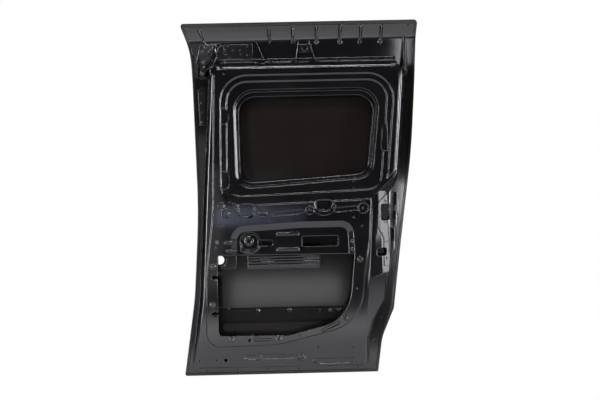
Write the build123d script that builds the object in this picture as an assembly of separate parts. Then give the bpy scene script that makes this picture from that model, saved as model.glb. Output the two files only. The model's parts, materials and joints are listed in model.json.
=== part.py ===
"""Bare pressed-steel side load door of a van, cabin side showing, before any fittings are hung on it.

The door is drawn lying in the press: x across, y up the door, z towards the cabin.
The last section stands it upright (+Z up, cabin side towards -Y) with the origin on the lower roller seat.
"""
import os
from math import atan2, cos, degrees, pi, radians, sin, tan

from build123d import *

os.makedirs("parts", exist_ok=True)

# Sheet thicknesses, the inner one measured along the press stroke, and the adhesive film in the hem
PANEL_T = 2.6
SKIN_T = 1.6
PLATE_T = 3.0
BOND = 0.3
HEM_WIDTH = 10.0
HEM_FOLD = 2.2
# Levels, counted down from the trim land at z = 0
RIM_DROP = 5.0
SHOULDER_DROP = 9.0
PAN_DEPTH = 75.0
STEP_DROP = 5.0
PANE_DROP = 12.0
RETURN_DROP = 16.0
HANDLE_DROP = 14.0
CUP_DROP = 9.0
BELT_POCKET_DROP = 8.0
# Bends and pressed details
RIM_BEND = 7.0
RIM_BEND_DROP = 3.0
DRAFT = 38.0
WALL_LEAN = 21.0
CHANNEL_TILT = 37.0
SHOULDER_TILT = 17.0
LATCH_WALL_TILT = 53.0
CREASE_TILT = 75.0
ARCH_TILT = 43.0
PILLAR_TILT = 62.0
COIN_DROP = 2.0
SCALLOP_DROP = 7.0
SEAT_FOOT = -60.0
SEAT_RISE = 80.0
SEAT_LEAN = 18.0
SEAT_BEND = 4.0
RIDGE_FOOT = -54.0
RIDGE_RISE = 45.0
RIDGE_LEAN = 14.0
STEP_LEAN = 5.0
LEDGE_WIDTH = 22.0
SILL_LEDGE_WIDTH = 34.0
PANE_LEAN = 8.0
RETURN_LEAN = 4.0
HANDLE_LEAN = 20.0
BEAD_RISE = 3.0
PAD_DROP = 3.0
PAD_WIDTH = 16.0
PAD_RADIUS = 15.0
DART_RISE = 5.0
DART_ROOT = 3.0
DART_TILT = 42.0
DART_LENGTH = 52.0
DART_WIDTH = 4.0
DART_LEAN = 5.0
FLANGE_PAD_RISE = 1.2
# Fixing points
ROLLER_PITCH = 150.0
ROLLER_HOLE = 9.0
NUT_HOLE = 6.6
NUT_ACROSS = 15.0
NUT_HEIGHT = 5.0
SEAT_RADIUS = 8.0
PLUG_RADIUS = 7.5
PLUG_HEIGHT = 2.0
PRESS_FIT_GAP = 0.2
# Stiffeners on the skin
HAT_T = 2.5
HAT_FOOT = 9.0
BEAM_LENGTH = 560.0
BEAM_WIDTH = 56.0
BEAM_HEIGHT = 14.0
DIMPLE_RADIUS = 5.0
DIMPLE_DROP = 1.8
RAIL_LENGTH = 266.0
RAIL_WIDTH = 62.0
RAIL_HEIGHT = 12.0
RAIL_RIB_WIDTH = 4.0
RAIL_RIB_RISE = 3.5
HANDLE_CUP_HEIGHT = 20.0

PAD_X = -84.0
PAD_Y = 72.0
BELT_SEAM_Y = 567.0
HEADER_SEAM_Y = 1152.0
# Sides of small round shapes: a small hole, a nut seat, one end of a long bead, a corner, a wide corner
HOLE_SIDES = 8
SEAT_SIDES = 10
END_SIDES = 4
CORNER_SIDES = 3
WIDE_CORNER_SIDES = 8


def rounded(*corners):
    """Closed outline, facing up, through clockwise (x, y, radius) corners."""
    around = corners[::-1]
    line = FilletPolyline(*[c[:2] for c in around], radius=[c[2] for c in around], close=True)
    return make_face(line)


def stepped(sides, *corners):
    """Like rounded, with each corner turned in a few straight steps."""
    points = []
    for i, (x, y, radius) in enumerate(corners):
        coming = atan2(y - corners[i - 1][1], x - corners[i - 1][0])
        x_next, y_next = corners[(i + 1) % len(corners)][:2]
        turn = (atan2(y_next - y, x_next - x) - coming + pi) % (2 * pi) - pi
        reach = radius * tan(abs(turn) / 2)
        bulge = radius if turn > 0 else -radius
        x_centre = x - reach * cos(coming) - bulge * sin(coming)
        y_centre = y - reach * sin(coming) + bulge * cos(coming)
        for step in range(sides + 1):
            heading = coming + turn * step / sides
            points.append((x_centre + bulge * sin(heading), y_centre - bulge * cos(heading)))
    return make_face(Polyline(*points[::-1], close=True))


def box_outline(x0, y0, x1, y1, radius):
    """Upright rectangle with small rounded corners."""
    return stepped(CORNER_SIDES, *[(x, y, radius) for x, y in ((x0, y0), (x0, y1), (x1, y1), (x1, y0))])


def bead_outline(x0, y0, x1, y1, width):
    """Long outline between two centres, with round ends."""
    heading = atan2(y1 - y0, x1 - x0)
    points = []
    for x, y, start in ((x1, y1, heading - pi / 2), (x0, y0, heading + pi / 2)):
        for step in range(END_SIDES + 1):
            turn = start + pi * step / END_SIDES
            points.append((x + width / 2 * cos(turn), y + width / 2 * sin(turn)))
    return make_face(Polyline(*points, close=True))


def disc(x, y, radius):
    """Round outline."""
    return Pos(x, y) * Circle(radius)


def small_disc(x, y, radius, sides=HOLE_SIDES):
    """Small round outline of few sides."""
    return Pos(x, y) * RegularPolygon(radius, sides)


def grown(shape, amount):
    """Outline offset outwards, or inwards for a negative amount."""
    return offset(shape, amount, kind=Kind.INTERSECTION)


def drawn_in(corners, insets):
    """Corners after each side of a clockwise outline, from its corner to the next, has moved inwards."""
    moved = []
    for i, (x, y, radius) in enumerate(corners):
        x_back, y_back = corners[i - 1][:2]
        x_next, y_next = corners[(i + 1) % len(corners)][:2]
        coming = atan2(y - y_back, x - x_back)
        going = atan2(y_next - y, x_next - x)
        before, after = insets[i - 1], insets[i]
        turn = sin(going - coming)
        shift_x = (after * cos(coming) - before * cos(going)) / turn
        shift_y = (after * sin(coming) - before * sin(going)) / turn
        moved.append((x + shift_x, y + shift_y, radius - (before + after) / 2))
    return moved


def mound(foot, base, rise, inset):
    """Block whose walls lean inwards on the way up from the outline of its foot."""
    return Pos(0, 0, base) * extrude(foot, rise, taper=degrees(atan2(inset, rise)))


def hollow(mouth, top, drop, inset):
    """Block whose walls lean inwards on the way down from the outline of its mouth."""
    return Pos(0, 0, top) * mirror(mound(mouth, 0, drop, inset), Plane.XY)


def pocket(mouth, top, drop):
    """Pocket of standard draft."""
    return hollow(mouth, top, drop, drop * tan(radians(DRAFT)))


def boss(crown, base, rise):
    """Boss of standard draft whose flat top has the outline."""
    lean = rise * tan(radians(DRAFT))
    return mound(grown(crown, lean), base, rise, lean)


def prism(shape, low=-200, high=120):
    """Straight block along the press stroke."""
    return extrude(Pos(0, 0, low) * shape, high - low)


def raised(block, amount):
    """Block moved along the press stroke."""
    return Pos(0, 0, amount) * block


def falling(start, end, level, tilt):
    """Everything below a plane that falls away at the tilt to the right of a line at its level."""
    heading = atan2(end[1] - start[1], end[0] - start[0])
    normal = (sin(radians(tilt)) * sin(heading), -sin(radians(tilt)) * cos(heading), cos(radians(tilt)))
    slope = Plane(origin=(*start, level), x_dir=(cos(heading), sin(heading), 0), z_dir=normal)
    return slope * Pos(0, 0, -400) * Box(2400, 2400, 800)


# Outline of the closed door: bowed front edge, curved roof edge, raked rear edge and the wheel-arch cut
door_outline = rounded(
    (-431, 0, 8),
    (-392, 282, 900),
    (-372, 600, 2500),
    (-380, 1162, 260),
    (-408, 1252, 10),
    (427, 1249, 14),
    (425, 1060, 1500),
    (409, 800, 2500),
    (333, 226, 20),
    (287, 122, 150),
    (268, 0, 6),
)
panel_outline = grown(door_outline, -HEM_FOLD - BOND)

# Body side curve: tucked in below the belt, upright at the glass and turned over towards the roof
side_curve = FilletPolyline(
    (-40, -45.4), (350, -80), (1080, -46), (1200, -15), (1228, 7), (1300, 87), radius=[4500, 400, 40, 60]
)
side_region = make_face(side_curve + Polyline(side_curve @ 1, (1300, -300), (-40, -300), side_curve @ 0))
side_block = extrude(Plane.YZ * side_region, 520, both=True)
skin_level = -PANEL_T - BOND

# Pan of the inner panel: flat rim with a rolled bend and drafted walls down to the flange
rim_corners = [
    (-392, 38, 14),
    (-357, 270, 300),
    (-336, 620, 600),
    (-306, 1108, 42),
    (378, 1104, 45),
    (346, 714, 40),
    (316, 650, 60),
    (305, 374, 120),
    (294, 285, 60),
    (245, 197, 80),
    (226, 130, 90),
    (224, 38, 12),
]
pan_rim = rounded(*rim_corners)
pan = mound(grown(pan_rim, WALL_LEAN), -RIM_DROP - PAN_DEPTH, PAN_DEPTH - RIM_BEND_DROP, WALL_LEAN)
pan += mound(pan_rim, -RIM_DROP - RIM_BEND_DROP, RIM_BEND_DROP, RIM_BEND)

# Slope from the top of the pan to the floor of the channel under the roof header
channel_slope = falling((400, 1104), (-320, 1107), -RIM_DROP - RIM_BEND_DROP, CHANNEL_TILT)
channel_plan = Polyline((-310, 1080), (-310, 1230), (352, 1230), (352, 1125), (372, 1080), close=True)
channel_fill = prism(make_face(channel_plan), -RIM_DROP - PAN_DEPTH, -RIM_DROP - RIM_BEND_DROP)
pan += channel_fill & channel_slope

# Latch side of the pan: a shoulder and the steep latch wall, ending below in a crease from which one
# facet falls to the wheel arch, and closed above by the foot of the rear pillar
arch_end, latch_foot, latch_head, pillar_foot = (213, -17), (242, 340), (268, 640), (346, 714)
latch_plan = Polyline(arch_end, latch_foot, latch_head, pillar_foot, (440, 714), (440, -17), close=True)
shoulder = falling(latch_foot, latch_head, -RIM_DROP, SHOULDER_TILT)
latch_wall = falling((287, 340), (288, 640), -RIM_DROP - SHOULDER_DROP, LATCH_WALL_TILT)
crease = falling(latch_foot, (318, 373), -RIM_DROP, CREASE_TILT)
arch_facet = falling(arch_end, latch_foot, -RIM_DROP, ARCH_TILT)
pillar_wall = falling(latch_head, pillar_foot, -RIM_DROP, PILLAR_TILT)
pan -= prism(make_face(latch_plan)) - (shoulder & latch_wall & crease) - arch_facet - pillar_wall

# Trim land: everything inside the rim stands one step proud of it
land = rounded(
    (-341, 112, 48),
    (-338, 350, 300),
    (-308, 590, 600),
    (-294, 1099, 38),
    (366, 1096, 40),
    (336, 722, 25),
    (252, 646, 25),
    (243, 485, 200),
    (219, 330, 200),
    (207, 187, 150),
    (-90, 117, 300),
)
plain = pan + side_block + boss(land, -RIM_DROP, RIM_DROP)

# Seat of the upper roller arm, a block with an S-shaped edge and a tilted top that closes the channel at
# the front, and the ridge that closes the channel at the rear
seat_shape = stepped(
    END_SIDES,
    (-346, 1086, 4),
    (-352, 1195, 8),
    (-270, 1195, 5),
    (-287, 1176, 20),
    (-300, 1131, 40),
    (-334, 1086, 4),
)
seat_top = Plane(origin=(-325, 1145, -9), x_dir=(1, 0, 0.19), z_dir=(-0.18, 0.2, 0.96))
seat_block = mound(grown(seat_shape, SEAT_LEAN), SEAT_FOOT, SEAT_RISE, SEAT_LEAN)
bevel_foot = grown(Pos(325, -1145) * seat_shape, SEAT_RISE - SEAT_BEND)
plain += seat_block & seat_top * mound(bevel_foot, -SEAT_RISE, SEAT_RISE, SEAT_RISE)
ridge = box_outline(382, 1082, 389, 1212, 3)
plain += mound(grown(ridge, RIDGE_LEAN), RIDGE_FOOT, RIDGE_RISE, RIDGE_LEAN)

# Window rebate: two low steps, the deep one round the pane and the return flange round the aperture
mouth_corners = [(-277, 1077, 98), (352, 1075, 94), (308, 624, 80), (-283, 606, 76)]
ledge_corners = drawn_in(mouth_corners, [LEDGE_WIDTH, LEDGE_WIDTH, SILL_LEDGE_WIDTH, LEDGE_WIDTH])
pane_mouth = rounded((-231, 1025, 76), (296, 1023, 74), (261, 700, 60), (-227, 668, 58))
return_mouth = rounded((-215, 1001, 62), (277, 999, 60), (244, 716, 48), (-211, 690, 46))
aperture = grown(return_mouth, -RETURN_LEAN)
pane_level = -2 * STEP_DROP - PANE_DROP
for corners, level in ((mouth_corners, 0), (ledge_corners, -STEP_DROP)):
    plain -= hollow(stepped(WIDE_CORNER_SIDES, *corners), level, STEP_DROP, STEP_LEAN)
plain -= hollow(pane_mouth, -2 * STEP_DROP, PANE_DROP, PANE_LEAN)
plain -= hollow(return_mouth, pane_level, RETURN_DROP, RETURN_LEAN)

# Recess for the inner release handle above the service opening, with the round lever cup in it
handle_mouth = rounded((-250, 405, 24), (-248, 537, 52), (-2, 549, 600), (186, 549, 46), (192, 405, 24))
plain -= hollow(handle_mouth, 0, HANDLE_DROP, HANDLE_LEAN)
lever_cup = stepped(END_SIDES, (-218, 448, 22), (-218, 515, 32), (-146, 515, 32), (-146, 448, 22))
plain -= pocket(lever_cup, -HANDLE_DROP, CUP_DROP)

# Deep belt pockets, and drain scallops in the bottom bend
belt_pockets = [
    stepped(END_SIDES, (-227, 622, 18), (-154, 622, 18), (-164, 568, 20), (-217, 568, 20)),
    stepped(END_SIDES, (45, 631, 18), (125, 631, 18), (115, 584, 20), (56, 584, 20)),
]
for shape in belt_pockets:
    plain -= pocket(shape, 0, BELT_POCKET_DROP)
for x in (-277, -82, 132):
    plain -= pocket(small_disc(x, 34, 12), -RIM_DROP, SCALLOP_DROP)

# Sunk seat of the lower roller arm: a long groove with a round seat at each bolt
roller_holes = [(PAD_X - ROLLER_PITCH / 2, PAD_Y), (PAD_X + ROLLER_PITCH / 2, PAD_Y)]
plain -= pocket(bead_outline(PAD_X - 119, PAD_Y, PAD_X + 83, PAD_Y, PAD_WIDTH), -RIM_DROP, PAD_DROP)
for x, y in roller_holes:
    plain -= pocket(small_disc(x, y, PAD_RADIUS, SEAT_SIDES), -RIM_DROP, PAD_DROP)

# Coined on the cabin face alone: nut seats and slots along the belt, slots on the land and the boat-shaped
# sill pocket
nut_seats = [(-280, 611, 12), (-264, 585, 14), (-132, 587, 14), (34, 590, 14), (224, 594, 18)]
form = plain
for x, y, radius in nut_seats:
    form -= pocket(small_disc(x, y, radius, SEAT_SIDES), 0, COIN_DROP)
belt_slots = [(-93, 578, 5, 586, 16), (127, 589, 202, 594, 18)]
land_slots = [(-170, 134, -118, 134, 12), (70, 162, 128, 190, 12)]
for ends in belt_slots + land_slots:
    form -= pocket(bead_outline(*ends), 0, COIN_DROP)
boat_pocket = stepped(CORNER_SIDES, (15, 63, 6), (195, 63, 6), (165, 42, 9), (50, 42, 9))
form -= pocket(boat_pocket, -RIM_DROP, COIN_DROP)

# Raised on the cabin face alone: beads beside the lever cup and on the front stile, trim fixing seats, pads
# on the latch flange, and darts across the bend of the roof header, the first one slanted
land_seats = [(-315, 398), (-319, 261), (-256, 136), (-87, 136), (150, 204), (208, 412)]
for y in (508, 453):
    form += boss(bead_outline(-82, y, -12, y, 6), -HANDLE_DROP, BEAD_RISE)
for x, y in ((-253, 481), (-247, 451)):
    form += boss(bead_outline(x - 14, y, x + 14, y, 5), 0, BEAD_RISE)
for x, y in land_seats:
    form += boss(small_disc(x, y, SEAT_RADIUS, SEAT_SIDES), 0, BEAD_RISE)
for x0, y0, x1, y1 in ((341, 571, 358, 635), (340, 517, 351, 566), (331, 436, 341, 506)):
    form += prism(box_outline(x0, y0, x1, y1, 4)) & raised(side_block, FLANGE_PAD_RISE)
for x, turn in ((-334, 16), (-96, 0), (-12, 0), (72, 0), (156, 0), (229, 0), (302, 0)):
    lean = radians(DART_TILT)
    seat = Plane(origin=(x, 1213, -4), x_dir=(1, 0, 0), z_dir=(0, -sin(lean), cos(lean)))
    foot = bead_outline(0, -DART_LENGTH / 2, 0, DART_LENGTH / 2, DART_WIDTH + 2 * DART_LEAN)
    form += seat * Rot(0, 0, turn) * mound(foot, -DART_ROOT, DART_ROOT + DART_RISE, DART_LEAN)

# Inner panel: the form between its cabin face and the plain form one thickness down
panel = (prism(panel_outline) & form) - raised(plain, -PANEL_T)

# Openings and holes pierced after pressing
service_opening = rounded((-299, 150, 14), (-299, 435, 8), (190, 431, 8), (165, 201, 140), (-49, 147, 150))
handle_slot = box_outline(4, 461, 132, 497, 5)
key_hole = bead_outline(-145, 476, -110, 476, 20)
latch_hole = box_outline(287, 547, 322, 606, 9)
pull_hole = box_outline(270, 421, 309, 449, 9)
insert_points = [(183, 478), (183, 449)]
plug_point = (-298, 484)
for shape in (aperture, service_opening, handle_slot, key_hole, latch_hole, pull_hole):
    panel -= prism(shape)
for x, y in roller_holes:
    panel -= prism(disc(x, y, ROLLER_HOLE / 2))
for x, y in land_seats + insert_points + [plug_point] + [seat[:2] for seat in nut_seats]:
    panel -= prism(small_disc(x, y, NUT_HOLE / 2))
for x, y, radius in ((-191, 133, 5.5), (-277, 62, 7.5)):
    panel -= prism(small_disc(x, y, radius))

# The panel is joined from three pressings along the header and the belt
header_rail = panel & Pos(0, HEADER_SEAM_Y + 200, 0) * Box(1200, 400, 600)
frame_height = HEADER_SEAM_Y - BELT_SEAM_Y
window_frame = panel & Pos(0, BELT_SEAM_Y + frame_height / 2, 0) * Box(1200, frame_height, 600)
lower_frame = panel & Pos(0, BELT_SEAM_Y - 400, 0) * Box(1200, 800, 600)

# Outer skin with its edge folded round the flange of the inner panel
skin_back = raised(side_block, skin_level - SKIN_T)
fold_front = raised(side_block, BOND + SKIN_T)
handle_hole = box_outline(-304, 392, -277, 432, 5)
outer_skin = prism(door_outline) & (raised(side_block, skin_level) - skin_back)
outer_skin += prism(door_outline - grown(door_outline, -HEM_FOLD)) & (fold_front - skin_back)
hem = door_outline - grown(door_outline, -HEM_WIDTH)
outer_skin += prism(hem) & (fold_front - raised(side_block, BOND))
outer_skin -= prism(handle_hole)


# Stiffeners stuck to the skin: the cup under the outer handle, open towards the street, a dimpled
# intrusion beam of hat section, and a ribbed rail behind the handle
def skin_at(x, y):
    """Plane on the cabin side of the skin at a height up the door."""
    low, high = 0.0, 1.0
    for halving in range(30):
        middle = (low + high) / 2
        low, high = (middle, high) if (side_curve @ middle).X < y else (low, middle)
    point, along = side_curve @ low, side_curve % low
    origin = (x, point.X, point.Y + skin_level + BOND)
    return Plane(origin=origin, x_dir=(1, 0, 0), z_dir=(0, -along.Y, along.X))


def slab(x_length, y_length, low, high):
    """Flat bar between two heights above the skin."""
    return Pos(0, 0, (low + high) / 2) * Box(x_length, y_length, high - low)


def hat(length, width, height):
    """Hat section lying along x, with a foot on each side."""
    crown = width - 2 * HAT_FOOT
    inside = slab(length + 1, crown - 2 * HAT_T, -1, height - HAT_T)
    return slab(length, width, 0, HAT_T) + slab(length, crown, 0, height) - inside


cup_plane = skin_at(-274, 412)
cup_outline = box_outline(-38, -30, 38, 30, 12)
handle_cup = extrude(cup_outline, HANDLE_CUP_HEIGHT)
handle_cup -= extrude(grown(cup_outline, -HAT_T), HANDLE_CUP_HEIGHT - HAT_T)
handle_cup = cup_plane * handle_cup - prism(handle_hole)
intrusion_beam = hat(BEAM_LENGTH, BEAM_WIDTH, BEAM_HEIGHT)
for x in (-215, -109, 4, 117, 165, 202):
    dimple = prism(small_disc(x, 11, DIMPLE_RADIUS), BEAM_HEIGHT - DIMPLE_DROP, BEAM_HEIGHT + DIMPLE_DROP)
    intrusion_beam -= dimple
intrusion_beam = skin_at(-55, 211) * intrusion_beam
handle_rail = hat(RAIL_LENGTH, RAIL_WIDTH, RAIL_HEIGHT)
for y in (-15, -5, 5, 15):
    rib = slab(RAIL_LENGTH - 12, RAIL_RIB_WIDTH, RAIL_HEIGHT - HAT_T, RAIL_HEIGHT + RAIL_RIB_RISE)
    handle_rail += Pos(0, y, 0) * rib
handle_rail = skin_at(-63, 409) * handle_rail


# Plates spot-welded on the cabin side of the inner panel
def on_panel(shape, thickness):
    """Plate following the panel surface."""
    return prism(shape) & (raised(form, thickness) - form)


latch_shape = stepped(
    CORNER_SIDES,
    (320, 647, 6),
    (279, 614, 8),
    (275, 522, 8),
    (299, 484, 6),
    (297, 382, 6),
    (324, 382, 6),
    (331, 560, 200),
)
latch_plate = on_panel(latch_shape, PLATE_T) - prism(latch_hole) - prism(pull_hole)
stile_shape = stepped(
    CORNER_SIDES, (-356, 905, 6), (-360, 1030, 8), (-348, 1046, 8), (-336, 1040, 6), (-338, 905, 6)
)
stile_plate = on_panel(stile_shape, PLATE_T)
roller_shape = stepped(
    CORNER_SIDES,
    (-342, 1098, 2),
    (-348, 1186, 8),
    (-282, 1186, 5),
    (-293, 1168, 20),
    (-306, 1131, 40),
    (-334, 1098, 2),
)
roller_plate = on_panel(roller_shape, PLATE_T)
for x, y in ((-334, 1166), (-308, 1166), (-331, 1125)):
    roller_plate -= prism(small_disc(x, y, ROLLER_HOLE / 2))
channel_patch = on_panel(box_outline(-262, 1123, -157, 1188, 4), PLATE_T)


# Leaning webs in the channel: one gusset, and two under a small cable plate
def web(x, lean):
    """Upright web across the channel between its rim wall and the header."""
    side = make_face(Polyline((-42, -12), (30, -12), (30, -60), (-42, -60), close=True))
    return Pos(x, 1165, 0) * Rot(0, 0, lean) * extrude(Plane.YZ * side, PLATE_T / 2, both=True) - form


channel_gusset = web(-130, 22)
channel_bracket = web(2, -8) + web(55, 18) + on_panel(box_outline(2, 1156, 55, 1184, 1), PLATE_T)
channel_bracket -= prism(small_disc(29, 1170, 10, SEAT_SIDES))


# Nuts and plug in the pierced holes
def nut_under(x, y, face, hole):
    """Square weld nut on the hidden side of the panel."""
    body = Pos(x, y) * Rectangle(NUT_ACROSS, NUT_ACROSS) - hole
    return prism(body, face - PANEL_T - NUT_HEIGHT, face - PANEL_T)


pad_level = -RIM_DROP - PAD_DROP
roller_nuts = Compound([nut_under(x, y, pad_level, disc(x, y, ROLLER_HOLE / 2)) for x, y in roller_holes])
belt_nuts = Compound([nut_under(x, y, 0, small_disc(x, y, NUT_HOLE / 2)) for x, y, radius in nut_seats])
trim_nuts = Compound([nut_under(x, y, 0, small_disc(x, y, NUT_HOLE / 2)) for x, y in land_seats])
insert_ring = small_disc(0, 0, SEAT_RADIUS, SEAT_SIDES) - small_disc(0, 0, NUT_HOLE / 2)
insert_nuts = Compound([prism(Pos(x, y) * insert_ring, 0, SKIN_T) for x, y in insert_points])
blanking_plug = prism(small_disc(*plug_point, PLUG_RADIUS, SEAT_SIDES), 0, PLUG_HEIGHT)
blanking_plug += prism(small_disc(*plug_point, NUT_HOLE / 2 - PRESS_FIT_GAP), -PANEL_T - PLUG_HEIGHT, 0)

nodes = {
    "outer_skin": outer_skin,
    "header_rail": header_rail,
    "window_frame": window_frame,
    "lower_frame": lower_frame,
    "outer_handle_cup": handle_cup,
    "intrusion_beam": intrusion_beam,
    "handle_rail": handle_rail,
    "latch_plate": latch_plate,
    "stile_plate": stile_plate,
    "upper_roller_plate": roller_plate,
    "channel_patch": channel_patch,
    "channel_gusset": channel_gusset,
    "channel_bracket": channel_bracket,
    "roller_weld_nuts": roller_nuts,
    "belt_weld_nuts": belt_nuts,
    "trim_weld_nuts": trim_nuts,
    "handle_insert_nuts": insert_nuts,
    "blanking_plug": blanking_plug,
}

# Stand the door up and put the origin on the floor of the lower roller seat
upright = Rot(90, 0, 0) * Pos(-PAD_X, -PAD_Y, -pad_level)
for name, shape in nodes.items():
    export_step(upright * shape, f"parts/{name}.step")
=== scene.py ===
import json
from math import cos, pi, radians, sin

import bmesh
import bpy
from mathutils import Matrix, Vector
from mathutils.bvhtree import BVHTree


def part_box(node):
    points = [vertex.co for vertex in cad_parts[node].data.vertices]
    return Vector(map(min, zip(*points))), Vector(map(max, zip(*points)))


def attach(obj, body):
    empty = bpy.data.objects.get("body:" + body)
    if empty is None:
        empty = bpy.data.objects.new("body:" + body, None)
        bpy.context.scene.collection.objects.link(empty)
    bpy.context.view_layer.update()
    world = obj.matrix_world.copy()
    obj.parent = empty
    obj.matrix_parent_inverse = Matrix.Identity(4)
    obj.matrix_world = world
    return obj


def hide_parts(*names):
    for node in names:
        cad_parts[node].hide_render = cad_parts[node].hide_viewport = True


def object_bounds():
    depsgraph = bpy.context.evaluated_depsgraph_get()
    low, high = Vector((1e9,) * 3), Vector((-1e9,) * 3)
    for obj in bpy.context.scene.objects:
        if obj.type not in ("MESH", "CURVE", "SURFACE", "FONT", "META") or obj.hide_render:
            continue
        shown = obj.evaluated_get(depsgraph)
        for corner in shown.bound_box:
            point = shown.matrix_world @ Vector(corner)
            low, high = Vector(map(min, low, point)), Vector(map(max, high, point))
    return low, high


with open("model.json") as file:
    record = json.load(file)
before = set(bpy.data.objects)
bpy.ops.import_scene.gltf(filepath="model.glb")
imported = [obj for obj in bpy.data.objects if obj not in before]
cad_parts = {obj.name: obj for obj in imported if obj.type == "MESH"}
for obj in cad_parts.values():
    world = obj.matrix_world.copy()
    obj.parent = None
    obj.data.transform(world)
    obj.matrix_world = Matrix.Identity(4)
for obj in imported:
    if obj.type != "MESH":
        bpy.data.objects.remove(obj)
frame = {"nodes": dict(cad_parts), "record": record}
cad_box = [list(corner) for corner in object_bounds()]
nodes = frame["nodes"]

# Inner panel, three welded pressings of thin sheet steel: roof header, window frame and lower frame. The
# welds are dressed flat, so it shows as one sheet, with drain, clip and gauge holes pierced through it.
# It left the dip tank with a gloss black electrocoat that is slightly pebbled and has caught a little dust.
MM = 0.001
RAY_START = -1.0
bodywork = bmesh.new()
for node in nodes.values():
    bodywork.from_mesh(node.data)
cabin_face = BVHTree.FromBMesh(bodywork)
bodywork.free()


def seat(x, z):
    """Frame on the cabin face at a place across and up the door in mm: across, up and out of the sheet."""
    start = Vector((x * MM, RAY_START, z * MM))
    point, out = cabin_face.ray_cast(start, Vector((0, 1, 0)))[:2]
    across = Vector((1, 0, 0))
    across -= out * across.dot(out)
    across.normalize()
    turn = Matrix((across, out.cross(across), out)).transposed().to_4x4()
    return Matrix.Translation(point) @ turn @ Matrix.Scale(MM, 4)


def seat_over_hole(x, z, aside, above=0):
    """Seat over a hole, read from the sheet beside it."""
    return seat(x + aside, z + above) @ Matrix.Translation((-aside, -above, 0))


def circle(radius, sides):
    return [(radius * cos(2 * pi * k / sides), radius * sin(2 * pi * k / sides)) for k in range(sides)]


def band(bm, low, high):
    """Closed strip of faces between two rings of as many corners."""
    for k in range(len(low)):
        after = (k + 1) % len(low)
        bm.faces.new((low[k], low[after], high[after], high[k]))


def block(bm, where, outline, low, high, lean=0):
    """Block on an outline, between two heights over its seat, whose sides lean in towards its top."""
    middle = sum((Vector(spot) for spot in outline), Vector((0, 0))) / len(outline)
    inner = [Vector(spot) + (middle - Vector(spot)).normalized() * lean for spot in outline]
    foot = [bm.verts.new(where @ Vector((x, y, low))) for x, y in outline]
    top = [bm.verts.new(where @ Vector((x, y, high))) for x, y in inner]
    bm.faces.new(foot[::-1])
    bm.faces.new(top)
    band(bm, foot, top)


def piece_from(bm, name):
    mesh = bpy.data.meshes.new(name)
    bm.verts.index_update()
    mesh.from_pydata([v.co for v in bm.verts], [], [[v.index for v in f.verts] for f in bm.faces])
    bm.free()
    piece = bpy.data.objects.new(name, mesh)
    bpy.context.scene.collection.objects.link(piece)
    return piece


MERGE_GAP = 0.01 * MM


def pierced(node, punches):
    """Copy of a node's mesh with the punched holes cut through it."""
    sheet = bmesh.new()
    sheet.from_mesh(nodes[node].data)
    bmesh.ops.remove_doubles(sheet, verts=sheet.verts, dist=MERGE_GAP)
    piece = piece_from(sheet, node + "_sheet")
    cut = piece.modifiers.new("pierce", "BOOLEAN")
    cut.object = punches
    cut.solver = "EXACT"
    mesh = bpy.data.meshes.new_from_object(piece.evaluated_get(bpy.context.evaluated_depsgraph_get()))
    bpy.data.objects.remove(piece)
    return mesh


def shade(piece, crease):
    for face in piece.data.polygons:
        face.use_smooth = True
    piece.data.set_sharp_from_angle(angle=radians(crease))


# Round holes are given in mm as across, up and radius
belt_row = [(-198, 471, 3), (-175, 471, 2), (274, 488, 3), (302, 457, 2.5), (-221, 394, 3.5)]
belt_row += [(x, 482, 1.8) for x in (-127, -100, -26, 46)]
land_gauges = [(278, 237, 2.2), (72, 74, 2), (277, 617, 2.2), (276, 592, 2.2), (-177, 1007, 2.5)]
bottom_drains = [(x, -54, 2.2) for x in (-309, -268, -154, -45, 65, 174, 281)]
bottom_gauges = [(-226, -7, 2.5), (-287, -8, 2.5), (136, 32, 3)]
bottom_gauges += [(261, 29, 2.5), (371, 120, 2.5), (342, 38, 3)]
LATCH_SCREW_GAP = 8.5
latch_screws = ((389, 545), (386, 468), (388, 398))
latch_pairs = [(x + aside, z, 2.4) for x, z in latch_screws for aside in (0, LATCH_SCREW_GAP)]
corner_holes = [(392, 339, 4), (479, 1163, 3), (-293, 1101, 3.5), (-281, 1077, 3)]
round_holes = belt_row + land_gauges + bottom_drains + bottom_gauges + latch_pairs + corner_holes
clip_slit = [(-12, -4), (-5, -5), (-9, -12), (-1, -7), (4, -11), (5, -5), (14, -5)]
clip_slit += [(x, -y) for x, y in clip_slit[::-1]]
CLIP_SLITS = ((-226, 287), (-226, 158))
key_teeth = [(-28, -6), (-4, -11), (-2, -16), (5, -14), (5, -9), (26, -9)]
key_teeth += [(26, 7), (4, 8), (3, 13), (-4, 14), (-5, 11), (-28, 15)]
KEY_HOLE = (-42, 406)
KEY_ASIDE, KEY_ABOVE = -38, 19
HOLE_SIDES = 12
PUNCH_DEPTH = 9
PUNCH_RISE = 3
punch_work = bmesh.new()
for x, z, radius in round_holes:
    block(punch_work, seat(x, z), circle(radius, HOLE_SIDES), -PUNCH_DEPTH, PUNCH_RISE)
for x, z in CLIP_SLITS:
    block(punch_work, seat(x, z), clip_slit, -PUNCH_DEPTH, PUNCH_RISE)
key_seat = seat_over_hole(*KEY_HOLE, KEY_ASIDE, KEY_ABOVE)
block(punch_work, key_seat, key_teeth, -PUNCH_DEPTH, PUNCH_RISE)
punches = piece_from(punch_work, "punches")

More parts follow.
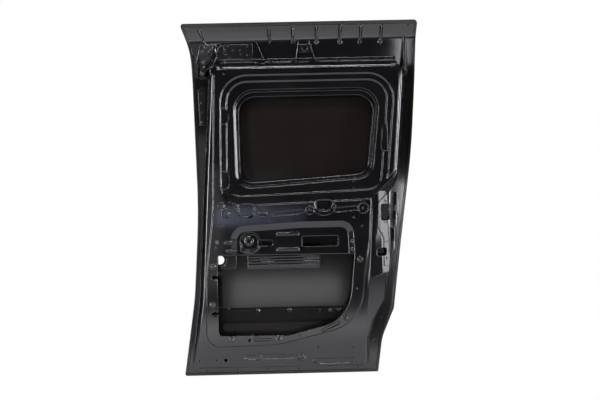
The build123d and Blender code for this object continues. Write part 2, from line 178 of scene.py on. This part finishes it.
joined = bmesh.new()
for name in ("header_rail", "window_frame", "lower_frame"):
    joined.from_mesh(pierced(name, punches))
WELD_GAP = 0.02 * MM
welds = [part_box("lower_frame")[1][2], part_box("window_frame")[1][2]]
butted = [f for f in joined.faces for z in welds if all(abs(v.co.z - z) < WELD_GAP for v in f.verts)]
bmesh.ops.delete(joined, geom=butted, context="FACES")
bmesh.ops.remove_doubles(joined, verts=joined.verts, dist=WELD_GAP)
SHEET_CREASE = 20
inner_panel = piece_from(joined, "inner_panel")
shade(inner_panel, SHEET_CREASE)
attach(inner_panel, "root")
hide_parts("header_rail", "window_frame", "lower_frame")


def new_group(name, inputs, outputs):
    group = bpy.data.node_groups.new(name, "ShaderNodeTree")
    for title, kind, value in inputs:
        group.interface.new_socket(title, in_out="INPUT", socket_type=kind).default_value = value
    for title, kind in outputs:
        group.interface.new_socket(title, in_out="OUTPUT", socket_type=kind)
    return group, group.nodes.new("NodeGroupInput"), group.nodes.new("NodeGroupOutput")


def add(tree, kind, **settings):
    node = tree.nodes.new(kind)
    for key, value in settings.items():
        setattr(node, key, value)
    return node


def calc(tree, operation, *values, clamp=False):
    node = add(tree, "ShaderNodeMath", operation=operation, use_clamp=clamp)
    for socket, value in zip(node.inputs, values):
        if isinstance(value, bpy.types.NodeSocket):
            tree.links.new(value, socket)
        else:
            socket.default_value = value
    return node.outputs[0]


def noise(tree, scale, detail):
    node = add(tree, "ShaderNodeTexNoise")
    node.inputs["Detail"].default_value = detail
    if isinstance(scale, bpy.types.NodeSocket):
        tree.links.new(scale, node.inputs["Scale"])
    else:
        node.inputs["Scale"].default_value = scale
    tree.links.new(add(tree, "ShaderNodeTexCoord").outputs["Object"], node.inputs["Vector"])
    return node.outputs["Fac"]


BEND_SAMPLES = 32
BEND_GAIN = 6.0
bend_group, given, result = new_group(
    "pressed_bend",
    [("Radius", "NodeSocketFloat", 0.005)],
    [("Normal", "NodeSocketVector"), ("Bend", "NodeSocketFloat")],
)
rounding = add(bend_group, "ShaderNodeBevel", samples=BEND_SAMPLES)
bend_group.links.new(given.outputs["Radius"], rounding.inputs["Radius"])
facing = add(bend_group, "ShaderNodeVectorMath", operation="DOT_PRODUCT")
bend_group.links.new(rounding.outputs["Normal"], facing.inputs[0])
bend_group.links.new(add(bend_group, "ShaderNodeNewGeometry").outputs["Normal"], facing.inputs[1])
bend_group.links.new(rounding.outputs["Normal"], result.inputs["Normal"])
turned_away = calc(bend_group, "SUBTRACT", 1.0, facing.outputs["Value"])
bend_group.links.new(calc(bend_group, "MULTIPLY", turned_away, BEND_GAIN, clamp=True), result.inputs["Bend"])

PEBBLE_HEIGHT = 0.02
RIPPLE_SCALE = 12.0
RIPPLE_HEIGHT = 0.3
peel_group, given, result = new_group(
    "orange_peel", [("Scale", "NodeSocketFloat", 420.0)], [("Height", "NodeSocketFloat")]
)
pebbled = noise(peel_group, given.outputs["Scale"], detail=2.0)
fine = calc(peel_group, "MULTIPLY", pebbled, PEBBLE_HEIGHT)
ripple = calc(peel_group, "MULTIPLY", noise(peel_group, RIPPLE_SCALE, detail=1.0), RIPPLE_HEIGHT)
peel_group.links.new(calc(peel_group, "ADD", fine, ripple), result.inputs["Height"])

SMUDGE_SCALE = 9.0
SMUDGE_START = 0.4
SPECK_SCALE = 150.0
DUST_GAIN = 5.0
LYING_SLOPE, LYING_START = 0.7, 0.25
dust_group, given, result = new_group(
    "workshop_dust", [("Amount", "NodeSocketFloat", 0.3)], [("Dust", "NodeSocketFloat")]
)
smudge = noise(dust_group, SMUDGE_SCALE, detail=6.0)
speck = noise(dust_group, SPECK_SCALE, detail=3.0)
upward = add(dust_group, "ShaderNodeSeparateXYZ")
dust_group.links.new(add(dust_group, "ShaderNodeNewGeometry").outputs["Normal"], upward.inputs[0])
lying = calc(dust_group, "MULTIPLY_ADD", upward.outputs["Z"], LYING_SLOPE, LYING_START, clamp=True)
smeared = calc(dust_group, "SUBTRACT", smudge, SMUDGE_START, clamp=True)
patchy = calc(dust_group, "MULTIPLY", smeared, speck)
spread = calc(dust_group, "MULTIPLY", calc(dust_group, "MULTIPLY", patchy, DUST_GAIN), lying)
amount = calc(dust_group, "MULTIPLY", spread, given.outputs["Amount"], clamp=True)
dust_group.links.new(amount, result.inputs["Dust"])


def place(tree, group, **inputs):
    node = add(tree, "ShaderNodeGroup", node_tree=group)
    for title, value in inputs.items():
        node.inputs[title].default_value = value
    return node


def mix(tree, kind, factor, low, high):
    node = add(tree, "ShaderNodeMix", data_type=kind)
    first, second, out = {"FLOAT": (2, 3, 0), "RGBA": (6, 7, 2)}[kind]
    tree.links.new(factor, node.inputs[0])
    node.inputs[first].default_value = low
    node.inputs[second].default_value = high
    return node.outputs[out]


DUST_COLOUR = (0.2, 0.19, 0.17, 1)
DUST_ROUGHNESS = 0.5
BEND_POLISH = -0.03
PEEL_STRENGTH = 0.25
PEEL_DEPTH = 1 * MM


def ecoat(name, colour, roughness, bend, peel, dust, ior=1.9, specular=0.5):
    """Black electrocoat: bend is the radius of pressed bends in metres, peel the scale of the pebbling."""
    material = bpy.data.materials.new(name)
    material.use_nodes = True
    tree = material.node_tree
    shader = tree.nodes["Principled BSDF"]
    rounded = place(tree, bend_group, Radius=bend)
    pebble = place(tree, peel_group, Scale=peel)
    film = place(tree, dust_group, Amount=dust)
    surface = add(tree, "ShaderNodeBump")
    surface.inputs["Strength"].default_value = PEEL_STRENGTH
    surface.inputs["Distance"].default_value = PEEL_DEPTH
    tree.links.new(pebble.outputs["Height"], surface.inputs["Height"])
    tree.links.new(rounded.outputs["Normal"], surface.inputs["Normal"])
    tree.links.new(surface.outputs["Normal"], shader.inputs["Normal"])
    dusty = mix(tree, "RGBA", film.outputs["Dust"], (*colour, 1), DUST_COLOUR)
    tree.links.new(dusty, shader.inputs["Base Color"])
    rough = mix(tree, "FLOAT", film.outputs["Dust"], roughness, DUST_ROUGHNESS)
    polished = calc(tree, "MULTIPLY_ADD", rounded.outputs["Bend"], BEND_POLISH, rough)
    tree.links.new(polished, shader.inputs["Roughness"])
    shader.inputs["IOR"].default_value = ior
    shader.inputs["Specular IOR Level"].default_value = specular
    return material


PANEL_BLACK = (0.003, 0.003, 0.0035)
panel_coat = ecoat("panel_ecoat_gloss", PANEL_BLACK, roughness=0.09, bend=0.0034, peel=420, dust=0.08)
inner_panel.data.materials.append(panel_coat)

# Outer skin, one sheet folded back round the panel's flange as a hem. Seen from the cabin it is the dark
# face in the window's rebate and behind the service opening, with a thinner, rougher and browner coat.
SKIN_BLACK = (0.0085, 0.0066, 0.0056)


def coat(material, *names):
    for name in names:
        nodes[name].data.materials.clear()
        nodes[name].data.materials.append(material)


skin_coat = ecoat("skin_ecoat_satin", SKIN_BLACK, roughness=0.14, bend=0.003, peel=520, dust=0.06, ior=1.7)
coat(skin_coat, "outer_skin")

# Reinforcements of thicker plate, spot-welded on the panel or stuck to the skin before the dip, so that
# they carry the same black coat with crisper edges. The intrusion beam lies deep inside, and its coat is
# made darker and duller than the others as painted shade. The latch plate has the latch's screw holes.
PLATE_BLACK = (0.006, 0.006, 0.007)
# The beam's black is darker than the plates' as painted shade for its place deep inside the door.
BEAM_BLACK_WITH_PAINTED_SHADE = (0.0015, 0.0015, 0.0015)
plate_coat = ecoat("plate_ecoat_gloss", PLATE_BLACK, roughness=0.14, bend=0.0025, peel=480, dust=0.12)
plates = ["outer_handle_cup", "handle_rail", "stile_plate", "upper_roller_plate"]
plates += ["channel_patch", "channel_gusset", "channel_bracket"]
coat(plate_coat, *plates)
# Low specular and high roughness dull the beam's reflections, as painted shade deep inside the door.
dulled_for_painted_shade = {"roughness": 0.35, "specular": 0.1}
beam_painted_shade_coat = ecoat("beam_ecoat_painted_shade", BEAM_BLACK_WITH_PAINTED_SHADE, bend=0.002, peel=480, dust=0.08, **dulled_for_painted_shade)
coat(beam_painted_shade_coat, "intrusion_beam")
latch_sheet = bmesh.new()
latch_sheet.from_mesh(pierced("latch_plate", punches))
latch_plate = piece_from(latch_sheet, "latch_plate_drilled")
shade(latch_plate, SHEET_CREASE)
latch_plate.data.materials.append(plate_coat)
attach(latch_plate, "root")
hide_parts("latch_plate")
bpy.data.objects.remove(punches)

# Spot welds, the round dimples left by the welding tips where plates are joined to the panel, and the
# larger dimples along the top of the intrusion beam. Each is a shallow dish with a low raised lip, under
# the same black coat. Profiles are radius and height in mm, from the foot inwards.


def turned(bm, where, profile, sides, ring=False):
    """Round shape turned from (radius, height) points, closed by a flat centre unless it is a ring."""
    rings = []
    for radius, height in profile:
        rings.append([bm.verts.new(where @ Vector((x, y, height))) for x, y in circle(radius, sides)])
    following = rings[1:] + rings[:1] if ring else rings[1:]
    for low, high in zip(rings, following):
        band(bm, low, high)
    if not ring:
        bm.faces.new(rings[0][::-1])
        bm.faces.new(rings[-1])


SMALL_CREASE = 40


def finished(bm, name, material):
    piece = piece_from(bm, name)
    shade(piece, SMALL_CREASE)
    piece.data.materials.append(material)
    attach(piece, "root")
    return piece


WELD_DISH = [(4.2, -0.6), (4.0, 0.35), (3.2, 0.6), (2.2, 0.3), (1.0, 0.15)]
WELD_SIDES = 14
BEAM_DISH = [(8.4, -0.6), (8.0, 0.9), (6.6, 1.8), (5.0, 1.4), (3.2, 0.5), (1.4, 0.3)]
BEAM_DISH_SIDES = 20
patch_welds = [(-160, 1110), (-146, 1097), (-118, 1095), (-117, 1083), (-169, 1081), (-155, 1071)]
patch_welds += [(-93, 1079), (-76, 1072), (-172, 1098), (-92, 1108)]
roller_welds = [(-242, 1115), (-212, 1107), (-247, 1052), (-245, 1034), (-253, 1092)]
latch_welds = [(404, 520), (403, 440), (401, 360), (385, 372), (396, 575), (376, 430)]
stile_welds = [(-264, z) for z in (845, 880, 915, 950)]
beam_dimples = [(-186, 159), (-76, 158), (37, 157), (146, 153), (186, 153), (217, 154)]
weld_work = bmesh.new()
for x, z in patch_welds + roller_welds + latch_welds + stile_welds:
    turned(weld_work, seat(x, z), WELD_DISH, WELD_SIDES)
for x, z in beam_dimples:
    turned(weld_work, seat(x, z), BEAM_DISH, BEAM_DISH_SIDES)
finished(weld_work, "spot_welds", plate_coat)

# Fixing collars, the flared necks round the threads of the trim and belt fixings. They are drawn up from
# the sheet and coated with it.
COLLAR = [(5.6, -0.5), (5.4, 0.7), (4.7, 1.3), (3.9, 1.1), (3.4, 0.2), (3.1, -1.6)]
COLLAR_SIDES = 20
COLLAR_ASIDE = 6
trim_seats = [(-231, 326), (-235, 189), (-172, 64), (-3, 64), (234, 132), (292, 340)]
belt_seats = [(-196, 539), (-180, 513), (-48, 515), (118, 518), (308, 522)]
collar_work = bmesh.new()
for x, z in trim_seats + belt_seats:
    turned(collar_work, seat_over_hole(x, z, COLLAR_ASIDE), COLLAR, COLLAR_SIDES)
finished(collar_work, "fixing_collars", plate_coat)

# Roller screw seats, two domed washers of pressed steel in the sunk seat of the lower roller arm. They are
# welded round its screw holes before the dip and share the black coat.
ROLLER_COLLAR = [(10.5, -0.4), (10.2, 0.5), (8.6, 1.6), (6.4, 1.9), (5.2, 1.2), (4.7, -1.5)]
ROLLER_SIDES = 24
ROLLER_ASIDE = 8
mounts = {mount["name"]: mount for mount in frame["record"]["mounts"]}
screw_pitch = mounts["lower_roller_bolts"]["dims"]["spacing_x_mm"]
roller_work = bmesh.new()
for x in (-screw_pitch / 2, screw_pitch / 2):
    turned(roller_work, seat_over_hole(x, 0, ROLLER_ASIDE), ROLLER_COLLAR, ROLLER_SIDES)
finished(roller_work, "roller_screw_seats", plate_coat)

# Lever bearing, a boss drawn up from the floor of the release lever's cup, with a hole for the lever's pin.
# It is part of the sheet and carries its coat.
BEARING = [(19, -0.5), (17.5, 1.6), (14.5, 3.4), (10.5, 3.8), (8.6, 2.6), (7.2, 0.6), (5.6, -2.5)]
BEARING_SIDES = 32
LEVER_PIN = (-103, 412)
bearing_work = bmesh.new()
turned(bearing_work, seat(*LEVER_PIN), BEARING, BEARING_SIDES)
finished(bearing_work, "lever_bearing", panel_coat)

# Pressed lips, the half-round rims that stiffen the belt pockets, the nut seats along the belt, the lever
# cup, the ends of the beads beside it, the edge of the upper roller's seat, a round seat on the front
# stile and a slot on the window's ledge. They are part of the sheet and carry its coat.
LIP_RISE = 0.6
LIP_SINK = 0.2
LIP_STEPS = 6


def arc(x, y, radius, start, end, steps):
    """Points round a centre, from one angle to another in degrees."""
    turns = [radians(start + (end - start) * k / steps) for k in range(steps + 1)]
    return [(x + radius * cos(turn), y + radius * sin(turn)) for turn in turns]


def lip(bm, where, path, width, closed=False):
    """Half-round rim along a path drawn on its seat."""
    profile = [(cos(pi * k / LIP_STEPS), sin(pi * k / LIP_STEPS)) for k in range(LIP_STEPS + 1)]
    half = width / 2
    rings = []
    for k, (x, y) in enumerate(path):
        before = path[k - 1] if k or closed else path[0]
        after = path[(k + 1) % len(path)] if k + 1 < len(path) or closed else path[-1]
        along = Vector((after[0] - before[0], after[1] - before[1])).normalized()
        ring = []
        for a, b in profile:
            corner = (x + along.y * half * a, y - along.x * half * a, LIP_RISE * half * b - LIP_SINK)
            ring.append(bm.verts.new(where @ Vector(corner)))
        rings.append(ring)
    following = rings[1:] + rings[:1] if closed else rings[1:]
    for one, other in zip(rings, following):
        band(bm, one, other)
    if not closed:
        bm.faces.new(rings[0][::-1])
        bm.faces.new(rings[-1])


# A turn is its first angle, its last angle and its steps
FULL_TURN = (0, 345, 23)
POCKET_TURN = (188, 352, 20)
CUP_TURN = (222, 318, 16)
BELT_X, BELT_Z = -60, 500
NUT_RIM_RADII = (14, 16, 16, 16, 20)
NUT_LIP = 3.0
POCKETS = ((-108, 541, 41), (169, 541, 43))
POCKET_LIP = 3.4
lip_work = bmesh.new()
belt = seat(BELT_X, BELT_Z)
for (x, z), radius in zip(belt_seats, NUT_RIM_RADII):
    lip(lip_work, belt, arc(x - BELT_X, z - BELT_Z, radius, *FULL_TURN), NUT_LIP, closed=True)
for x, z, radius in POCKETS:
    lip(lip_work, belt, arc(x - BELT_X, z - BELT_Z, radius, *POCKET_TURN), POCKET_LIP)

RECESS_X, RECESS_Z = 60, 410
BEAD_ROWS = (440, 385)
BEAD_ENDS = ((-2, -1), (76, 1))
HOOK_RADIUS = 5
HOOK_DROP = 12
HOOK_STEPS = 6
BEAD_LIP = 4.5
CUP_X, CUP_Z, CUP_RADIUS = -102, 412, 44
CUP_LIP = 6.0
recess = seat(RECESS_X, RECESS_Z)
for z in BEAD_ROWS:
    for x, side in BEAD_ENDS:
        centre = (x - RECESS_X - HOOK_RADIUS * side, z - RECESS_Z - HOOK_RADIUS)
        hook = arc(*centre, HOOK_RADIUS, 90, 90 - 90 * side, HOOK_STEPS)
        lip(lip_work, recess, hook + [(x - RECESS_X, z - RECESS_Z - HOOK_DROP)], BEAD_LIP)
lip(lip_work, recess, arc(CUP_X - RECESS_X, CUP_Z - RECESS_Z, CUP_RADIUS, *CUP_TURN), CUP_LIP)

ROLLER_X, ROLLER_Z = -240, 1080
ROLLER_LIP = 11.0
ROLLER_BENDS = ((-172, 1100, 34, (160, 195, 5)), (-262, 1078, 59, (12, -62, 9)))
roller_edge = []
for x, z, radius, turn in ROLLER_BENDS:
    roller_edge += arc(x - ROLLER_X, z - ROLLER_Z, radius, *turn)
lip(lip_work, seat(ROLLER_X, ROLLER_Z), roller_edge, ROLLER_LIP)

STILE_SEAT = (-254, 745)
STILE_RADIUS = 14
STILE_LIP = 6.0
lip(lip_work, seat(*STILE_SEAT), arc(0, 0, STILE_RADIUS, *FULL_TURN), STILE_LIP, closed=True)
LEDGE_SLOT = (-186, 633)
SLOT_REACH = 13
SLOT_RADIUS = 5
SLOT_STEPS = 8
SLOT_LIP = 2.4
slot_edge = arc(0, SLOT_REACH, SLOT_RADIUS, 0, 180, SLOT_STEPS)
slot_edge += arc(0, -SLOT_REACH, SLOT_RADIUS, 180, 360, SLOT_STEPS)
lip(lip_work, seat(*LEDGE_SLOT), slot_edge, SLOT_LIP, closed=True)
finished(lip_work, "pressed_lips", panel_coat)

# Glass pads, three low lands on the ledge of the window's rebate where the glass bears on its spacers.
# Each is pressed out of the ledge by about a millimetre and carries the panel's coat.
GLASS_PADS = [
    ((-184, 859), [(-8, -30), (10, -30), (22, -16), (22, 14), (10, 30), (-8, 30)]),
    ((-187, 630), [(-8, -34), (8, -34), (22, -20), (23, 16), (11, 34), (-8, 34)]),
    ((405, 772), [(-4, -50), (-4, 50), (-14, 52), (-22, 42), (-30, -40), (-22, -52)]),
]
PAD_FOOT = -5.5
PAD_HEIGHT = 0.9
PAD_LEAN = 1.5
pad_work = bmesh.new()
for spot, outline in GLASS_PADS:
    block(pad_work, seat(*spot), outline, PAD_FOOT, PAD_HEIGHT, PAD_LEAN)
finished(pad_work, "glass_pads", panel_coat)

# Edge pads, three shallow lands on the rear flange that the door seal bears on. They are pressed at a
# slight tilt to the flange and carry its coat. Each is given by its middle and its height.
EDGE_PADS = [((431, 553), 55), ((427, 492), 38), ((419, 422), 58)]
EDGE_FOOT = -2.5
EDGE_LEAN = 0.8
PAD_TILT = Matrix.Rotation(radians(-8), 4, "Y")
edge_work = bmesh.new()
for spot, height in EDGE_PADS:
    half = height / 2
    outline = [(-7, -half), (7, -half + 3), (8, half - 3), (-6, half)]
    block(edge_work, seat(*spot) @ PAD_TILT, outline, EDGE_FOOT, PAD_HEIGHT, EDGE_LEAN)
finished(edge_work, "edge_pads", panel_coat)

# Handle bezel, a ring of plate drawn to a rounded rim. It lies round the outer handle's hole, on top of its
# reinforcement, and is welded there before the dip.
BEZEL = [(27, -0.5), (26.5, 2.5), (24, 4), (19.5, 3.4), (17, 1.0), (16, -1.0)]
BEZEL_SIDES = 40
HANDLE_HOLE = (-212, 344)
HANDLE_ASIDE, HANDLE_ABOVE = 44, -4
bezel_work = bmesh.new()
bezel_seat = seat_over_hole(*HANDLE_HOLE, HANDLE_ASIDE, HANDLE_ABOVE)
turned(bezel_work, bezel_seat, BEZEL, BEZEL_SIDES, ring=True)
finished(bezel_work, "handle_bezel", plate_coat)

# Dart ends on the roof header: a domed button at the top of each stiffening dart, and a drawn ring with a
# pin hole below it in the channel. They are part of the header's sheet and carry its coat.
BUTTON = [(6.5, -1.0), (6.2, 1.2), (4.8, 2.3), (2.4, 2.8)]
BUTTON_SIDES = 16
BUTTON_ASIDE = 8
RING = [(9.5, -1.0), (9.0, 1.2), (7.2, 2.2), (5.2, 1.8), (3.8, 0.4), (3.2, -1.5)]
RING_SIDES = 20
buttons = [(-12, 1166), (72, 1167), (156, 1166), (240, 1165), (313, 1164), (386, 1163), (-256, 1162)]
pin_rings = [(-10, 1119), (73, 1119), (156, 1118), (240, 1116), (310, 1115), (383, 1114), (-240, 1112)]
dart_work = bmesh.new()
for x, z in buttons:
    turned(dart_work, seat_over_hole(x, z, BUTTON_ASIDE), BUTTON, BUTTON_SIDES)
for x, z in pin_rings:
    turned(dart_work, seat(x, z), RING, RING_SIDES)
finished(dart_work, "dart_ends", panel_coat)

# Weld nuts and insert nuts of zinc-plated steel with a faint yellow passivation. They are masked in the
# dip to keep their threads clean, and the bare zinc has dulled to a cloudy grey.
ZINC_COLOURS = ((0.2, 0.2, 0.21, 1), (0.34, 0.33, 0.3, 1))
SMALL_BEND = 1 * MM


def mottled(name, scale, detail, colours, roughness, metallic=0.0):
    """Small part whose colour and roughness drift between two values in a cloudy pattern."""
    material = bpy.data.materials.new(name)
    material.use_nodes = True
    tree = material.node_tree
    shader = tree.nodes["Principled BSDF"]
    shader.inputs["Metallic"].default_value = metallic
    cloud = noise(tree, scale, detail)
    tree.links.new(mix(tree, "RGBA", cloud, *colours), shader.inputs["Base Color"])
    tree.links.new(mix(tree, "FLOAT", cloud, *roughness), shader.inputs["Roughness"])
    rounded = place(tree, bend_group, Radius=SMALL_BEND)
    tree.links.new(rounded.outputs["Normal"], shader.inputs["Normal"])
    return material


zinc = mottled(
    "zinc_plate", scale=260, detail=4.0, colours=ZINC_COLOURS, roughness=(0.18, 0.42), metallic=1.0
)
coat(zinc, "roller_weld_nuts", "belt_weld_nuts", "trim_weld_nuts", "handle_insert_nuts")

# Blanking plug, a cap of soft grey plastic that closes a hole of the front stile. It is moulded in one
# piece with a faint mottle, and pushed in by hand after the dip.
PLUG_GREYS = ((0.05, 0.052, 0.055, 1), (0.08, 0.083, 0.086, 1))
plastic = mottled("plug_plastic", scale=700, detail=3.0, colours=PLUG_GREYS, roughness=(0.45, 0.6))
coat(plastic, "blanking_plug")

# Studio: a pale paper floor, so bright that the camera sees it as plain white, in plain white air. In the
# door's gloss coat only the lamps and the pools of light on the paper show.
FLOOR_REACH = 7.0
FLOOR_SQUARES = 14
PAPER_COLOURS = ((0.86, 0.86, 0.86, 1), (0.92, 0.92, 0.915, 1))
WHITE = (1.0, 1.0, 1.0, 1)
DIM_AIR = (0.02, 0.02, 0.021, 1)
floor_level = cad_box[0][2]
sheet = bmesh.new()
bmesh.ops.create_grid(sheet, x_segments=FLOOR_SQUARES, y_segments=FLOOR_SQUARES, size=FLOOR_REACH)
bmesh.ops.translate(sheet, verts=sheet.verts, vec=(0, 0, floor_level))
floor = piece_from(sheet, "studio_floor")


def bright_to_camera(tree, plain, bright, output):
    """Shows the camera the bright shader, and everything else the plain one."""
    seen = add(tree, "ShaderNodeMixShader")
    tree.links.new(add(tree, "ShaderNodeLightPath").outputs["Is Camera Ray"], seen.inputs[0])
    tree.links.new(plain.outputs[0], seen.inputs[1])
    tree.links.new(bright.outputs[0], seen.inputs[2])
    tree.links.new(seen.outputs[0], tree.nodes[output].inputs["Surface"])


paper = bpy.data.materials.new("floor_paper")
paper.use_nodes = True
tree = paper.node_tree
shader = tree.nodes["Principled BSDF"]
pale = mix(tree, "RGBA", noise(tree, scale=40, detail=5.0), *PAPER_COLOURS)
tree.links.new(pale, shader.inputs["Base Color"])
shader.inputs["Roughness"].default_value = 0.9
glow = add(tree, "ShaderNodeEmission")
glow.inputs["Color"].default_value = WHITE
bright_to_camera(tree, shader, glow, "Material Output")
floor.data.materials.append(paper)

world = bpy.data.worlds.new("studio_air")
bpy.context.scene.world = world
world.use_nodes = True
tree = world.node_tree
dim = tree.nodes["Background"]
dim.inputs["Color"].default_value = DIM_AIR
bright = add(tree, "ShaderNodeBackground")
bright.inputs["Color"].default_value = WHITE
bright_to_camera(tree, dim, bright, "World Output")

# Studio lamps: a softbox over the door, tall strips beside it that draw the bends as thin lines, cards of
# light for the latch edge, the front stile and the sill, a row of dim bluish panes that fades along the
# belt, a lamp behind the door, and two lamps turned down on the floor.
DAYLIGHT = (0.94, 0.95, 1.0)
BLUISH = (0.6, 0.68, 1.0)


def softbox(name, spot, aim, size, power, colour=DAYLIGHT, spread=180):
    """Area lamp at a spot, turned to its aim, with its size in metres and its spread in degrees."""
    light = bpy.data.lights.new(name, "AREA")
    light.shape = "RECTANGLE"
    light.size, light.size_y = size
    light.energy = power
    light.color = colour
    light.spread = radians(spread)
    lamp = bpy.data.objects.new(name, light)
    lamp.location = spot
    lamp.rotation_euler = (Vector(aim) - Vector(spot)).to_track_quat("-Z", "Y").to_euler()
    lamp.visible_camera = False
    bpy.context.scene.collection.objects.link(lamp)
    return lamp


DOOR_MIDDLE = (0.1, 0.0, 0.6)
softbox("overhead_front", (0.1, -1.3, 2.5), (0.1, -0.1, 0.75), size=(2.4, 0.24), power=9, spread=80)
softbox("strip_left", (-1.4, -1.3, 0.8), DOOR_MIDDLE, size=(0.26, 1.8), power=6.8, spread=70)
softbox("strip_right", (2.1, -0.75, 0.8), DOOR_MIDDLE, size=(0.3, 1.8), power=8, spread=70)
softbox("plate_card", (1.55, -1.33, 0.38), (0.37, 0.0, 0.48), size=(0.5, 0.3), power=1.4)
softbox("latch_card", (1.9, 0.6, 0.35), (0.4, 0.03, 0.45), size=(0.6, 0.5), power=2.2)
softbox("edge_card", (0.85, -2.3, 0.2), (0.46, 0.0, 0.45), size=(0.09, 0.5), power=0.07, spread=60)
softbox("stile_card", (-0.75, -2.5, 0.35), (-0.3, 0.0, 0.4), size=(0.5, 0.9), power=0.42)
LOW_CARD_HEIGHT, LOW_CARD_AIM = 0.22, 0.29
low_spot = (0.0, -1.0, floor_level + LOW_CARD_HEIGHT)
low_aim = (0.0, 0.0, floor_level + LOW_CARD_AIM)
softbox("low_card", low_spot, low_aim, size=(0.58, 0.1), power=0.27)

PANE_COUNT = 6
PANE_SIZE = (0.08, 0.1)
PANE_START, PANE_DISTANCE, PANE_LEVEL = -0.33, -1.2, 0.475
PANE_POWER, PANE_FADE = 0.024, 0.0034
for k in range(PANE_COUNT):
    x = PANE_START + PANE_SIZE[0] * k
    spot = (x, PANE_DISTANCE, PANE_LEVEL)
    power = PANE_POWER - PANE_FADE * k
    softbox(f"window_pane_{k}", spot, (x, 0.0, PANE_LEVEL), PANE_SIZE, power, BLUISH)

softbox("street_top", (0.1, 1.9, 2.3), (0.1, 0.1, 0.6), size=(2.2, 0.8), power=25)
POOL_SIZE = (2.6, 0.5)
POOL_HEIGHT = 0.25
POOLS = (("floor_pool", -1.0, 4.9), ("street_pool", 1.1, 5))
for name, distance, power in POOLS:
    spot = (DOOR_MIDDLE[0], distance, floor_level + POOL_HEIGHT)
    pool = softbox(name, spot, (DOOR_MIDDLE[0], distance, floor_level), POOL_SIZE, power)
    pool.visible_glossy = False

# Camera, level with the middle of the door and square to its cabin side. It is held at a slight roll, so
# that the door leans a little in the picture.
camera = bpy.data.cameras.new("camera")
camera.lens = 38.9
camera.sensor_width = 36
eye = bpy.data.objects.new("camera", camera)
eye.location = (0.084, -2.308, 0.555)
eye.rotation_euler = (radians(90), radians(1.38), 0)
bpy.context.scene.collection.objects.link(eye)
bpy.context.scene.camera = eye

bpy.context.scene.view_settings.view_transform = "Standard"
